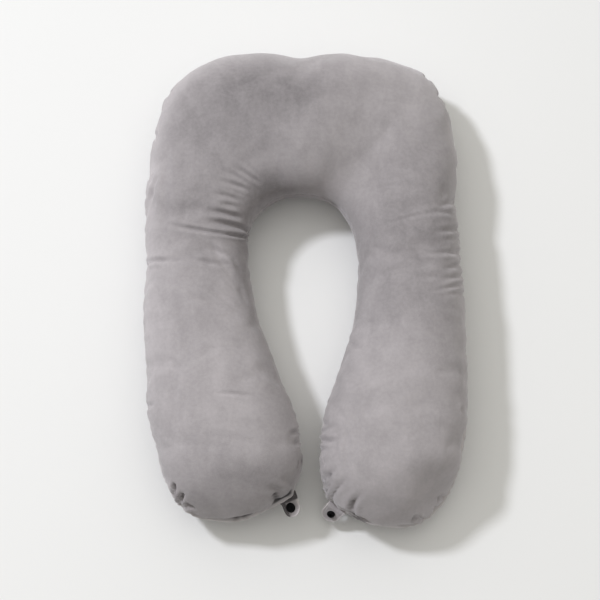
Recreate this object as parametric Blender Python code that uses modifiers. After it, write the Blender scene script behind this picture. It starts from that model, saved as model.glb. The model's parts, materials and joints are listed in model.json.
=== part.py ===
"""A U-shaped body pillow: one stuffed tube of plush cloth, sewn from a top and a bottom panel, with a
snap tab at the inner corner of each arm's end. Metres, +Z up, +X to the right, the arms' ends towards -Y.

The pillow is a loft. Each row of SECTIONS is one cut across the tube, from the outer seam to the inner
seam, and a smooth curve runs through the rows. The two ends are domes. The underside is flat where the
weight of the pillow presses it on the floor. Each snap is two turned pieces: a cap whose post passes
through the tab, and a stud or a socket pressed onto the post."""

from collections import namedtuple
from math import asin, copysign, cos, exp, hypot, pi, radians, sin

import bmesh
import bpy
from mathutils import Matrix, Vector

# ---------------------------------------------------------------- the stuffed tube
Section = namedtuple("Section", "outer_x outer_y inner_x inner_y height")
SECTIONS = (  # from the left arm's end, up and over, to the right arm's end
    Section(-0.1950, -0.218, -0.0045, -0.216, 0.128),
    Section(-0.2075, -0.170, -0.0130, -0.168, 0.129),
    Section(-0.2108, -0.118, -0.0330, -0.118, 0.128),
    Section(-0.2152, -0.040, -0.0612, -0.038, 0.119),
    Section(-0.2152, 0.030, -0.0757, 0.030, 0.112),
    Section(-0.2160, 0.095, -0.0762, 0.075, 0.112),
    Section(-0.2135, 0.157, -0.0675, 0.099, 0.118),
    Section(-0.2035, 0.2245, -0.0570, 0.1120, 0.124),
    Section(-0.1790, 0.281, -0.0437, 0.1214, 0.129),
    Section(-0.1310, 0.3160, -0.0300, 0.1272, 0.133),
    Section(-0.0670, 0.3272, -0.0155, 0.1289, 0.136),
    Section(-0.0060, 0.3226, -0.0035, 0.1294, 0.137),
    Section(0.0550, 0.3257, 0.0095, 0.1290, 0.134),
    Section(0.1190, 0.3190, 0.0245, 0.1264, 0.125),
    Section(0.1690, 0.297, 0.0395, 0.1176, 0.117),
    Section(0.1925, 0.2515, 0.0515, 0.1035, 0.116),
    Section(0.2030, 0.1875, 0.0615, 0.0855, 0.117),
    Section(0.2020, 0.118, 0.0682, 0.058, 0.117),
    Section(0.2070, 0.040, 0.0712, 0.030, 0.118),
    Section(0.2125, -0.050, 0.0620, -0.048, 0.124),
    Section(0.2136, -0.122, 0.0388, -0.1195, 0.130),
    Section(0.2120, -0.170, 0.0228, -0.169, 0.129),
    Section(0.2045, -0.218, 0.0158, -0.217, 0.129),
)
MIDDLE_X = -0.0014  # the middle of the pillow's outline among these sections
MIDDLE_Y = 0.0067
SEAM_SHARE = 0.47  # the seam's height over the floor, as a share of the section's height
SQUASH = 0.010  # how far the stuffing would bulge below the floor if the floor were not there
FULLNESS = 2.2  # exponent of the section's curve: 2 is an ellipse, more is a fuller pillow
RING_PITCH = 0.0075  # spacing of the lofted rings along the tube
RING_POINTS = 32
SEAM_CROWDING = 0.45  # how much closer together a ring's points lie at the seams

End = namedtuple("End", "tip_x tip_y outer_taper inner_taper crown_taper outer_sag")
LEFT_END = End(-0.094, -0.303, 0.50, 1.25, 1.35, 0.00)  # a taper of 1 is a quarter ellipse, less is squarer
RIGHT_END = End(0.128, -0.313, 1.22, 0.68, 1.60, 0.80)
DOME_RINGS = 11
UNDERSIDE_TAPER = 0.85  # the same for its underside, which rises from the floor to the seam
TIP_DROP = 0.014  # how far the seam sags from the last full section to the tip
SAG_EASED_OVER = 0.40  # share of the dome over which the outer side starts to sag

# ---------------------------------------------------------------- the gathered seam
SEAM_GROOVE = 0.0020  # how far the stitched line is drawn in everywhere
SEAM_GROOVE_WIDTH = 0.006
PUCKER_REACH = 0.020  # how far a pucker runs from the seam over the skin
Gather = namedtuple("Gather", "side start end depth")
GATHERS = (  # stretches of seam where the thread puckers the cloth, as shares of the tube's length
    Gather("outer", 0.000, 0.130, 0.0034),
    Gather("outer", 0.270, 0.400, 0.0022),
    Gather("outer", 0.600, 0.860, 0.0028),
    Gather("outer", 0.880, 1.000, 0.0034),
    Gather("inner", 0.000, 0.130, 0.0022),
    Gather("inner", 0.860, 1.000, 0.0036),
)

Pull = namedtuple("Pull", "side share reach drop width height")
PULLS = (  # corners of the ends where a tab tugs the seam outwards and weighs it down
    Pull("inner", 0.0335, 0.0085, 0.000, 0.010, 0.022),
    Pull("inner", 0.9610, 0.0050, 0.016, 0.012, 0.022),
)

Crease = namedtuple("Crease", "from_share from_angle to_share to_angle width depth")
CREASES = (  # soft troughs, deep at their first point and dying out at their last
    Crease(0.311, 2.95, 0.304, 1.00, 0.010, 0.0050),
    Crease(0.323, 2.95, 0.312, 2.00, 0.009, 0.0042),
    Crease(0.331, 2.80, 0.323, 2.10, 0.009, 0.0030),
    Crease(0.371, 2.65, 0.361, 1.80, 0.010, 0.0030),
    Crease(0.402, 2.75, 0.387, 2.05, 0.010, 0.0030),
    Crease(0.273, 2.60, 0.286, 1.80, 0.010, 0.0030),
    Crease(0.274, 0.15, 0.271, 1.05, 0.009, 0.0036),
    Crease(0.254, 0.20, 0.254, 0.90, 0.010, 0.0030),
    Crease(0.202, 2.45, 0.230, 1.50, 0.012, 0.0024),
    Crease(0.348, 0.85, 0.385, 1.05, 0.014, 0.0030),
    Crease(0.348, 0.85, 0.311, 0.95, 0.014, 0.0030),
    Crease(0.688, 0.30, 0.677, 1.70, 0.009, 0.0030),
    Crease(0.902, 3.05, 0.907, 2.40, 0.009, 0.0034),
    Crease(0.938, 3.05, 0.936, 2.45, 0.009, 0.0038),
    Crease(0.955, 3.10, 0.946, 2.45, 0.009, 0.0042),
    Crease(0.981, 3.00, 0.962, 2.15, 0.010, 0.0052),
    Crease(0.126, 0.00, 0.127, 0.55, 0.008, 0.0040),
    Crease(0.034, 0.15, 0.045, 0.80, 0.009, 0.0038),
    Crease(0.022, 0.15, 0.021, 0.80, 0.009, 0.0036),
)

# ---------------------------------------------------------------- the snap tabs
GAP = 0.0003  # between touching pieces
Tab = namedtuple("Tab", "root_x root_y root_z heading droop roll")
LEFT_TAB = Tab(-0.0245, -0.2735, 0.0500, radians(-68), radians(6), radians(28))
RIGHT_TAB = Tab(0.0415, -0.2838, 0.0345, radians(-137), radians(40), radians(-20))
TAB_WIDTH = 0.026
TAB_THICKNESS = 0.0030  # the strip is cloth folded double
TAB_EDGE_ROUND = 0.0011
TAB_TUCKED_IN = 0.011  # how far the strip would reach past the seam before the pillow is cut from it
SNAP_FROM_ROOT = 0.0135
BEND_STEPS = 24
HOLE_RADIUS = 0.0016
TAB_DIRECTIONS = 36  # points round the snap's hole
TAB_STEPS = 4  # points from the hole out to the edge

# ---------------------------------------------------------------- the plastic snaps
POST_RADIUS = HOLE_RADIUS - GAP
SEAT = TAB_THICKNESS / 2 + GAP  # height of a snap's faces over the middle of the cloth
CAP_RADIUS = 0.0066
PLATE_RADIUS = 0.0054
SNAP_SIDES = 32
BEND_END = SNAP_FROM_ROOT - CAP_RADIUS  # the tab is flat from here on, under the snap
CROWN = (  # radius and height over the seat, from the top down the outer side
    (0.0000, 0.0016),
    (0.0030, 0.0015),
    (0.0051, 0.0010),
    (CAP_RADIUS, 0.0003),
    (CAP_RADIUS, 0.0000),
)
STUD = (
    (HOLE_RADIUS, 0.0034),
    (0.0019, 0.0034),
    (0.0024, 0.0028),
    (0.0024, 0.0011),
    (0.0048, 0.0011),
    (PLATE_RADIUS, 0.0008),
    (PLATE_RADIUS, 0.0000),
    (HOLE_RADIUS, 0.0000),
)
STUD_POST_REACH = 0.0029  # how far the post stands out of the far seat
SOCKET = (
    (HOLE_RADIUS, 0.0008),
    (0.0025, 0.0008),
    (0.0025, 0.0031),
    (0.0038, 0.0031),
    (0.0042, 0.0027),
    (0.0042, 0.0011),
    (0.0048, 0.0011),
    (PLATE_RADIUS, 0.0008),
    (PLATE_RADIUS, 0.0000),
    (HOLE_RADIUS, 0.0000),
)
SOCKET_POST_REACH = 0.0010
UP, DOWN = 1, -1  # the side of the tab a snap's piece is on

Cut = namedtuple("Cut", "middle across half_width rise fall seam outer_sag")


def cut_of(row):
    """One cut across the tube: its middle, its direction, and its reach to each side, up and down."""
    section = Section(*row)
    outer = Vector((section.outer_x, section.outer_y))
    inner = Vector((section.inner_x, section.inner_y))
    half_width = (outer - inner).length / 2
    across = (outer - inner).normalized()
    seam = section.height * SEAM_SHARE
    return Cut((outer + inner) / 2, across, half_width, section.height - seam, seam + SQUASH, seam, 0)


def middle_of(row):
    section = Section(*row)
    return Vector((section.outer_x + section.inner_x, section.outer_y + section.inner_y)) / 2


def smooth_rows(rows, pitch):
    """Rows about a pitch apart on a smooth curve through the rows of a table."""
    knots = [0.0]
    for before, after in zip(rows, rows[1:]):
        knots.append(knots[-1] + (middle_of(after) - middle_of(before)).length)
    last = len(rows) - 1
    slopes = []
    for i in range(len(rows)):
        low, high = max(i - 1, 0), min(i + 1, last)
        slopes.append([(b - a) / (knots[high] - knots[low]) for a, b in zip(rows[low], rows[high])])
    count = 2 * round(knots[-1] / pitch / 2)
    result = []
    i = 0
    for k in range(count + 1):
        s = knots[-1] * k / count
        while i < last - 1 and s > knots[i + 1]:
            i += 1
        span = knots[i + 1] - knots[i]
        t = (s - knots[i]) / span
        rise = 3 * t**2 - 2 * t**3
        leave = (t**3 - 2 * t**2 + t) * span
        arrive = (t**3 - t**2) * span
        row = []
        for a, b, slope_a, slope_b in zip(rows[i], rows[i + 1], slopes[i], slopes[i + 1]):
            row.append(a + (b - a) * rise + slope_a * leave + slope_b * arrive)
        result.append(row)
    return result


def dome_cuts(last, before, end):
    """The cuts that close an arm, from beside the last full one to the one nearest the tip.

    They carry on the arm's own bend and narrowing, so that no ridge shows where the end begins.
    """
    tip = Vector((end.tip_x, end.tip_y))
    onward = (tip - last.middle).length / (last.middle - before.middle).length
    ahead = (last.middle - before.middle) * onward
    narrowing = (last.half_width - before.half_width) * onward
    lowering = (last.rise - before.rise) * onward
    cuts = []
    for k in range(1, DOME_RINGS + 1):
        turn = pi / 2 * k / (DOME_RINGS + 0.5)
        width = last.half_width + narrowing * sin(turn)
        outer_reach = width * cos(turn) ** end.outer_taper
        inner_reach = width * cos(turn) ** end.inner_taper
        rise = (last.rise + lowering * sin(turn)) * cos(turn) ** end.crown_taper
        spine = last.middle + ahead * sin(turn) + (tip - last.middle - ahead) * sin(turn) ** 2
        middle = spine + last.across * (outer_reach - inner_reach) / 2
        half_width = (outer_reach + inner_reach) / 2
        seam = last.seam - TIP_DROP * (1 - cos(turn))
        fall = (seam + SQUASH) * cos(turn) ** UNDERSIDE_TAPER
        eased = min(1.0, sin(turn) / SAG_EASED_OVER)
        sag = end.outer_sag * sin(turn) * eased**2 * (3 - 2 * eased) * cos(turn) ** end.outer_taper
        cuts.append(Cut(middle, last.across, half_width, rise, fall, seam, sag))
    return cuts


def closing_point(nearest, end):
    """The point that closes an arm, straight ahead of the middle of its last ring."""
    return Vector((nearest.middle.x, end.tip_y, nearest.seam))


def gather_depth(share, side, ring):
    """How far a pucker draws the skin in at one ring. In a gathered stretch every other ring is one."""
    depth = 0.0
    for gather in GATHERS:
        if gather.side == side and gather.start <= share <= gather.end and ring % 2:
            depth = gather.depth * (0.75 + 0.25 * sin(2.3 * ring))
    return depth


def crease_depth(along, around, tube_length, girth):
    """How deep the creases press into the skin at a place along the tube and round it."""
    depth = 0.0
    for crease in CREASES:
        start_x = crease.from_share * tube_length
        start_y = crease.from_angle / (2 * pi) * girth
        step_x = crease.to_share * tube_length - start_x
        step_y = crease.to_angle / (2 * pi) * girth - start_y
        run = (along - start_x) * step_x + (around - start_y) * step_y
        t = min(1.0, max(0.0, run / (step_x**2 + step_y**2)))
        gap = hypot(along - start_x - t * step_x, around - start_y - t * step_y)
        if gap < 3 * crease.width:
            depth += crease.depth * (1 - t**2) * exp(-((gap / crease.width) ** 2))
    return depth


def tab_pull(along, side, off_seam, tube_length):
    """How far the tabs tug the skin outwards at one place, and how far down."""
    reach, drop = 0.0, 0.0
    for pull in PULLS:
        if pull.side == side:
            gap = hypot((along - pull.share * tube_length) / pull.width, off_seam / pull.height)
            reach += pull.reach * exp(-(gap**2))
            drop += pull.drop * exp(-(gap**2))
    return reach, drop


def skin_ring(cut, along, ring, tube_length):
    """The closed ring of points round one cut. Angle 0 is the outer seam, pi / 2 the crown."""
    power = 2 / FULLNESS
    girth = pi * (cut.half_width + cut.rise)
    points = []
    for k in range(RING_POINTS):
        even = 2 * pi * k / RING_POINTS
        angle = even - SEAM_CROWDING / 2 * sin(2 * even)
        c, s = cos(angle), sin(angle)
        side = "outer" if c > 0 else "inner"
        off_seam = asin(min(abs(s), 1.0)) * cut.rise
        drawn_in = SEAM_GROOVE * exp(-((off_seam / SEAM_GROOVE_WIDTH) ** 2))
        drawn_in += gather_depth(along / tube_length, side, ring) * exp(-((off_seam / PUCKER_REACH) ** 2))
        if s >= 0:
            drawn_in += crease_depth(along, angle / (2 * pi) * girth, tube_length, girth)
        tug, drop = tab_pull(along, side, off_seam, tube_length)
        u = copysign(abs(c) ** power * cut.half_width + tug, c)
        z = copysign(abs(s) ** power, s) * (cut.rise if s > 0 else cut.fall)
        shrink = max(0.0, 1 - drawn_in / max(hypot(u, z), 0.004))
        plan = cut.middle + cut.across * u * shrink
        sunk = 1 - cut.outer_sag * max(c, 0.0) ** 2
        points.append(Vector((plan.x, plan.y, max(0.0, (cut.seam + z * shrink) * sunk - drop))))
    return points


def loft(name, rings, first_tip, last_tip):
    """A closed mesh through rings of equally many points, closed on a tip point at each end."""
    form = bmesh.new()
    rows = [[form.verts.new(p) for p in ring] for ring in rings]
    count = len(rings[0])
    for low, high in zip(rows, rows[1:]):
        for k in range(count):
            form.faces.new((low[k], low[(k + 1) % count], high[(k + 1) % count], high[k]))
    for row, tip in ((rows[0], first_tip), (rows[-1], last_tip)):
        point = form.verts.new(tip)
        for k in range(count):
            form.faces.new((row[k], row[(k + 1) % count], point))
    bmesh.ops.recalc_face_normals(form, faces=form.faces)
    mesh = bpy.data.meshes.new(name)
    form.to_mesh(mesh)
    form.free()
    mesh.shade_smooth()
    return bpy.data.objects.new(name, mesh)


def make_pillow():
    """The stuffed tube with its two domed ends. Shares of its length are measured from tip to tip."""
    full = [cut_of(row) for row in smooth_rows(SECTIONS, RING_PITCH)]
    cuts = dome_cuts(full[0], full[1], LEFT_END)[::-1] + full + dome_cuts(full[-1], full[-2], RIGHT_END)
    path = [Vector((LEFT_END.tip_x, LEFT_END.tip_y))]
    path += [cut.middle for cut in cuts]
    path.append(Vector((RIGHT_END.tip_x, RIGHT_END.tip_y)))
    travelled = [0.0]
    for before, after in zip(path, path[1:]):
        travelled.append(travelled[-1] + (after - before).length)
    rings = []
    for i, cut in enumerate(cuts):
        rings.append(skin_ring(cut, travelled[i + 1], i, travelled[-1]))
    left_close = closing_point(cuts[0], LEFT_END)
    right_close = closing_point(cuts[-1], RIGHT_END)
    return loft("pillow", rings, left_close, right_close)


def tab_edge(direction):
    """How far the tab's edge lies from the snap's middle: a round tip, then straight to the root."""
    c, s = cos(direction), sin(direction)
    half = TAB_WIDTH / 2
    if s >= 0:
        return half
    to_side = half / max(abs(c), 1e-9)
    to_root = (SNAP_FROM_ROOT + TAB_TUCKED_IN) / max(abs(s), 1e-9)
    return min(to_side, to_root)


def bent(along):
    """How much of its bend the tab has taken: none at the seam, all of it where the snap begins."""
    t = min(1.0, max(0.0, along / BEND_END))
    return t * t * (3 - 2 * t)


def tab_frame(tab, along):
    """The place and tilt of the tab's middle line. It leaves the seam level, then droops and rolls."""
    out, down = min(along, 0.0), 0.0
    step = max(along, 0.0) / BEND_STEPS
    for k in range(BEND_STEPS):
        droop = tab.droop * bent(step * (k + 0.5))
        out += cos(droop) * step
        down += sin(droop) * step
    droop = Matrix.Rotation(-tab.droop * bent(along), 4, "X")
    roll = Matrix.Rotation(tab.roll * bent(along), 4, "Y")
    root = Matrix.Translation((tab.root_x, tab.root_y, tab.root_z))
    heading = Matrix.Rotation(tab.heading - pi / 2, 4, "Z")
    return root @ heading @ Matrix.Translation((0, out, -down)) @ droop @ roll


def make_tab(name, tab, clearance):
    """A folded strip with a round tip and a hole for the snap's post, its root cut to the seam."""
    form = bmesh.new()
    half = TAB_THICKNESS / 2
    rows = []
    for j in range(TAB_DIRECTIONS):
        direction = 2 * pi * j / TAB_DIRECTIONS
        edge = tab_edge(direction)
        flat = edge - TAB_EDGE_ROUND
        reaches = [HOLE_RADIUS + (flat - HOLE_RADIUS) * k / TAB_STEPS for k in range(TAB_STEPS + 1)]
        section = [(reach, half) for reach in reaches]
        section += [(edge, 0.4 * half), (edge, -0.4 * half)]
        section += [(reach, -half) for reach in reversed(reaches)]
        row = []
        for reach, height in section:
            x = cos(direction) * reach
            y = SNAP_FROM_ROOT + sin(direction) * reach
            row.append(form.verts.new(tab_frame(tab, y) @ Vector((x, 0, height))))
        rows.append(row)
    for row, following in zip(rows, rows[1:] + rows[:1]):
        for k in range(len(row)):
            after = (k + 1) % len(row)
            form.faces.new((row[k], following[k], following[after], row[after]))
    bmesh.ops.recalc_face_normals(form, faces=form.faces)
    mesh = bpy.data.meshes.new(name)
    form.to_mesh(mesh)
    form.free()
    mesh.shade_smooth()
    mesh.set_sharp_from_angle(angle=radians(50))
    piece = bpy.data.objects.new(name, mesh)
    cut = piece.modifiers.new("clear of the pillow", "BOOLEAN")
    cut.operation = "DIFFERENCE"
    cut.object = clearance
    return piece


def cap_profile(post_reach):
    """A low round head, and the post that goes through the tab and out by its reach."""
    post_end = -2 * SEAT - post_reach
    return CROWN + ((POST_RADIUS, 0.0), (POST_RADIUS, post_end), (0.0, post_end))


def make_turned(name, tab, profile, side):
    """A turned piece seated on one side of the tab, about the snap's axis."""
    placed = [(radius, side * (SEAT + height)) for radius, height in profile]
    if side == DOWN:
        placed.reverse()
    form = bmesh.new()
    points = [form.verts.new((radius, 0, height)) for radius, height in placed]
    for before, after in zip(points, points[1:]):
        form.edges.new((before, after))
    if profile[0][0] > 0:
        form.edges.new((points[-1], points[0]))
    mesh = bpy.data.meshes.new(name)
    form.to_mesh(mesh)
    form.free()
    piece = bpy.data.objects.new(name, mesh)
    piece.matrix_world = tab_frame(tab, SNAP_FROM_ROOT)
    turned = piece.modifiers.new("turned", "SCREW")
    turned.axis = "Z"
    turned.steps = SNAP_SIDES
    turned.render_steps = SNAP_SIDES
    turned.use_merge_vertices = True
    turned.merge_threshold = 0.00001
    return piece


def give_material(pieces, name, colour, roughness):
    material = bpy.data.materials.new(name)
    material.use_nodes = True
    shader = material.node_tree.nodes["Principled BSDF"]
    shader.inputs["Base Color"].default_value = (*colour, 1)
    shader.inputs["Roughness"].default_value = roughness
    for piece in pieces:
        piece.data.materials.append(material)


for piece in list(bpy.data.objects):
    bpy.data.objects.remove(piece, do_unlink=True)

parts = bpy.data.collections.new("body_pillow")
cutters = bpy.data.collections.new("cutters")
bpy.context.scene.collection.children.link(parts)
bpy.context.scene.collection.children.link(cutters)

centred = bpy.data.objects.new("centred", None)
centred.location = (-MIDDLE_X, -MIDDLE_Y, 0)
parts.objects.link(centred)

pillow = make_pillow()
clearance = bpy.data.objects.new("pillow_clearance", pillow.data.copy())
grown = clearance.modifiers.new("grown", "DISPLACE")
grown.strength = GAP * 1.2
grown.mid_level = 0
clearance.hide_render = True
clearance.display_type = "WIRE"
clearance.parent = centred
cutters.objects.link(clearance)

tabs = (make_tab("tab_left", LEFT_TAB, clearance), make_tab("tab_right", RIGHT_TAB, clearance))
snaps = (
    make_turned("cap_left", LEFT_TAB, cap_profile(STUD_POST_REACH), UP),
    make_turned("stud_left", LEFT_TAB, STUD, DOWN),
    make_turned("socket_right", RIGHT_TAB, SOCKET, UP),
    make_turned("cap_right", RIGHT_TAB, cap_profile(SOCKET_POST_REACH), DOWN),
)
for piece in (pillow, *tabs, *snaps):
    piece.parent = centred
    parts.objects.link(piece)
give_material((pillow,), "pillow plush", (0.33, 0.31, 0.315), 0.95)
give_material(tabs, "tab plush", (0.33, 0.31, 0.315), 0.95)
give_material(snaps, "black plastic", (0.012, 0.012, 0.014), 0.35)
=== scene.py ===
"""The looks of a U-shaped plush body pillow: the stuffed skin with its gathered seam, two sewn snap tabs and
their black press snaps, on a pale floor. Metres, +Z up, +X to the right, the arms' ends towards -Y."""

import json
from collections import namedtuple
from math import cos, pi, radians, sin

import bmesh
import bpy
import numpy as np
from mathutils import Matrix, Vector, noise

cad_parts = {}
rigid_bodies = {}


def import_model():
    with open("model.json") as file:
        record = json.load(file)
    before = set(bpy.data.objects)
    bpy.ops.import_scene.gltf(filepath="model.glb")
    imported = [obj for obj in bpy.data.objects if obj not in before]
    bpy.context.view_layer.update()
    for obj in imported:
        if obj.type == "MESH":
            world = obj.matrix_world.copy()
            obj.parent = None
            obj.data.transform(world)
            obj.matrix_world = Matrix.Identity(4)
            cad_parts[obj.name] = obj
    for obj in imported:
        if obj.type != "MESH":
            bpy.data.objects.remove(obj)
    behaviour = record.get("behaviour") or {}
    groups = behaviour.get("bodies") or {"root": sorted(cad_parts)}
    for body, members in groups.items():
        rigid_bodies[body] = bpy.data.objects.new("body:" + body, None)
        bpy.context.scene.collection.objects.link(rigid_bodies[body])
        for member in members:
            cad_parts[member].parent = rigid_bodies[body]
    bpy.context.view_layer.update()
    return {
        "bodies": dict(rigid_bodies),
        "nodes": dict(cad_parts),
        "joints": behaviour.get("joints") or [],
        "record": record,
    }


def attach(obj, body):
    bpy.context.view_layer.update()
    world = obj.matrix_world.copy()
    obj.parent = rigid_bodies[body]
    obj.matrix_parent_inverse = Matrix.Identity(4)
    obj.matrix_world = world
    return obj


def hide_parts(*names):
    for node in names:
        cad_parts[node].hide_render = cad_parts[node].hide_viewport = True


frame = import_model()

# ============================================================================ the stuffed pillow
# A top and a bottom panel of short-pile plush, cut to a U, sewn together round the edge, turned and stuffed
# with polyester fibre. The seam lies at mid height. Its thread gathers the cloth into small puckers, the
# cloth folds where the tube bends round the neck, and the underside is flat on the floor.
Section = namedtuple("Section", "outer_x outer_y inner_x inner_y height")
SECTIONS = (  # from the left arm's end, up and over, to the right arm's end
    Section(-0.1950, -0.218, -0.0045, -0.216, 0.128),
    Section(-0.2075, -0.170, -0.0130, -0.168, 0.129),
    Section(-0.2108, -0.118, -0.0330, -0.118, 0.128),
    Section(-0.2152, -0.040, -0.0612, -0.038, 0.119),
    Section(-0.2152, 0.030, -0.0757, 0.030, 0.112),
    Section(-0.2160, 0.095, -0.0762, 0.075, 0.112),
    Section(-0.2135, 0.157, -0.0675, 0.099, 0.118),
    Section(-0.2035, 0.2245, -0.0570, 0.1120, 0.124),
    Section(-0.1790, 0.281, -0.0437, 0.1214, 0.129),
    Section(-0.1310, 0.3160, -0.0300, 0.1272, 0.133),
    Section(-0.0670, 0.3272, -0.0155, 0.1289, 0.136),
    Section(-0.0060, 0.3226, -0.0035, 0.1294, 0.137),
    Section(0.0550, 0.3257, 0.0095, 0.1290, 0.134),
    Section(0.1190, 0.3190, 0.0245, 0.1264, 0.125),
    Section(0.1690, 0.297, 0.0395, 0.1176, 0.117),
    Section(0.1925, 0.2515, 0.0515, 0.1035, 0.116),
    Section(0.2030, 0.1875, 0.0615, 0.0855, 0.117),
    Section(0.2020, 0.118, 0.0682, 0.058, 0.117),
    Section(0.2070, 0.040, 0.0712, 0.030, 0.118),
    Section(0.2125, -0.050, 0.0620, -0.048, 0.124),
    Section(0.2136, -0.122, 0.0388, -0.1195, 0.130),
    Section(0.2120, -0.170, 0.0228, -0.169, 0.129),
    Section(0.2045, -0.218, 0.0158, -0.217, 0.129),
)
MIDDLE = np.array((-0.0014, 0.0067))  # the middle of the outline among these sections
SEAM_SHARE = 0.47  # the seam's height, as a share of the tube's
SQUASH = 0.010  # how much the floor presses the underside flat
FULLNESS = 2.2  # 2 is an ellipse, and more is squarer
End = namedtuple("End", "tip_x tip_y outer_taper inner_taper crown_taper outer_sag")
LEFT_END = End(-0.094, -0.303, 0.50, 1.25, 1.35, 0.00)
RIGHT_END = End(0.128, -0.313, 1.22, 0.68, 1.60, 0.80)
UNDERSIDE_TAPER = 0.85
TIP_DROP = 0.014  # how far the seam comes down at a tip
SAG_EASED_OVER = 0.40  # the outer side starts to sag gently over this part of the dome
SKIN_PITCH = 0.0022  # spacing of the rings of the skin
SKIN_POINTS = (96, 50)  # points over the top panel and over the bottom panel
SKIN_DOME_RINGS = 32
SEAM_CROWDING = 0.45  # how much closer the points lie at the seam


def along_sections(pitch):
    """The section rows drawn out into a smooth curve, one row every pitch along the tube."""
    rows = np.array(SECTIONS)
    middles = (rows[:, 0:2] + rows[:, 2:4]) / 2
    knots = np.concatenate([[0], np.cumsum(np.linalg.norm(np.diff(middles, axis=0), axis=1))])
    low = np.maximum(np.arange(len(rows)) - 1, 0)
    high = np.minimum(np.arange(len(rows)) + 1, len(rows) - 1)
    slopes = (rows[high] - rows[low]) / (knots[high] - knots[low])[:, None]
    places = np.linspace(0, knots[-1], round(knots[-1] / pitch) + 1)
    i = np.clip(np.searchsorted(knots, places, side="right") - 1, 0, len(rows) - 2)
    span = (knots[i + 1] - knots[i])[:, None]
    t = (places - knots[i])[:, None] / span
    rise = 3 * t**2 - 2 * t**3
    leave, arrive = (t**3 - 2 * t**2 + t) * span, (t**3 - t**2) * span
    return rows[i] + (rows[i + 1] - rows[i]) * rise + slopes[i] * leave + slopes[i + 1] * arrive


def tube_cuts(pitch, dome_rings):
    """Every cut across the tube, domed ends included, as one array for each of its measures."""
    rows = along_sections(pitch)
    outer, inner = rows[:, 0:2], rows[:, 2:4]
    half = np.linalg.norm(outer - inner, axis=1) / 2
    across = (outer - inner) / (2 * half)[:, None]
    seam = rows[:, 4] * SEAM_SHARE
    middle, crown = (outer + inner) / 2, rows[:, 4] - seam
    full = [middle, across, half, crown, seam + SQUASH, seam, 0 * seam]
    ends = []
    for last, before, end in ((0, 1, LEFT_END), (-1, -2, RIGHT_END)):
        turn = pi / 2 * np.arange(1, dome_rings + 1) / (dome_rings + 0.5)
        c, s = np.cos(turn), np.sin(turn)
        tip = np.array((end.tip_x, end.tip_y))
        onward = np.linalg.norm(tip - middle[last]) / np.linalg.norm(middle[last] - middle[before])
        narrowing, lowering = onward * (half[last] - half[before]), onward * (crown[last] - crown[before])
        ahead = onward * (middle[last] - middle[before])
        spine = middle[last] + ahead * s[:, None] + (tip - middle[last] - ahead) * (s**2)[:, None]
        out_reach = (half[last] + narrowing * s) * c**end.outer_taper
        in_reach = (half[last] + narrowing * s) * c**end.inner_taper
        shifted = spine + across[last] * ((out_reach - in_reach) / 2)[:, None]
        dropped = seam[last] - TIP_DROP * (1 - c)
        fall = (dropped + SQUASH) * c**UNDERSIDE_TAPER
        rise = (crown[last] + lowering * s) * c**end.crown_taper
        eased = np.clip(s / SAG_EASED_OVER, 0, 1)
        sag = end.outer_sag * s * eased**2 * (3 - 2 * eased) * c**end.outer_taper
        across_end = np.repeat(across[last][None], dome_rings, 0)
        ends.append([shifted, across_end, (out_reach + in_reach) / 2, rise, fall, dropped, sag])
    return [np.concatenate([a[::-1], b, c]) for a, b, c in zip(ends[0], full, ends[1])]


def plain_skin(pitch, dome_rings, points):
    """The smooth skin: its grid of points, and how far along the tube and round it each of them is."""
    middle, across, half, rise, fall, seam, sag = tube_cuts(pitch, dome_rings)
    path = np.concatenate([[LEFT_END[:2]], middle, [RIGHT_END[:2]]])
    travelled = np.concatenate([[0], np.cumsum(np.linalg.norm(np.diff(path, axis=0), axis=1))])
    top, bottom = points
    even = np.concatenate([pi * np.arange(top) / top, -pi + pi * np.arange(bottom) / bottom])
    angle = even - SEAM_CROWDING / 2 * np.sin(2 * even)
    c, s = np.cos(angle)[None], np.sin(angle)[None]
    power = 2 / FULLNESS
    u = np.sign(c) * np.abs(c) ** power * half[:, None]
    z = np.sign(s) * np.abs(s) ** power * np.where(s > 0, rise[:, None], fall[:, None])
    lower = 1 - sag[:, None] * np.maximum(c, 0) ** 2
    grid = np.empty((len(half), top + bottom, 3))
    grid[:, :, :2] = middle[:, None] + across[:, None] * u[:, :, None] - MIDDLE
    grid[:, :, 2] = (seam[:, None] + z) * lower
    return grid, travelled[1:-1], travelled[-1], angle, half, rise


def outward(grid):
    """The unit normals of a closed tube of points."""
    down_tube = np.gradient(grid, axis=0)
    round_it = np.roll(grid, -1, axis=1) - np.roll(grid, 1, axis=1)
    normal = np.cross(round_it, down_tube)
    normal /= np.maximum(np.linalg.norm(normal, axis=2, keepdims=True), 1e-12)
    centre = grid.mean(axis=1, keepdims=True)
    return normal * np.sign((normal * (grid - centre)).sum(axis=(1, 2), keepdims=True))


def tube_mesh(name, grid):
    """A closed mesh through a grid of rings, closed on a point at each end."""
    rings, points = grid.shape[:2]
    tips = [tuple(grid[end].mean(axis=0)) for end in (0, -1)]
    faces = []
    for i in range(rings - 1):
        for k in range(points):
            after = (k + 1) % points
            faces.append((i * points + k, (i + 1) * points + k, (i + 1) * points + after, i * points + after))
    for k in range(points):
        after = (k + 1) % points
        faces.append((k, after, rings * points))
        faces.append(((rings - 1) * points + after, (rings - 1) * points + k, rings * points + 1))
    mesh = bpy.data.meshes.new(name)
    mesh.from_pydata([tuple(p) for p in grid.reshape(-1, 3)] + tips, [], faces)
    form = bmesh.new()
    form.from_mesh(mesh)
    bmesh.ops.recalc_face_normals(form, faces=form.faces)
    form.to_mesh(mesh)
    form.free()
    mesh.shade_smooth()
    return mesh


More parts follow.
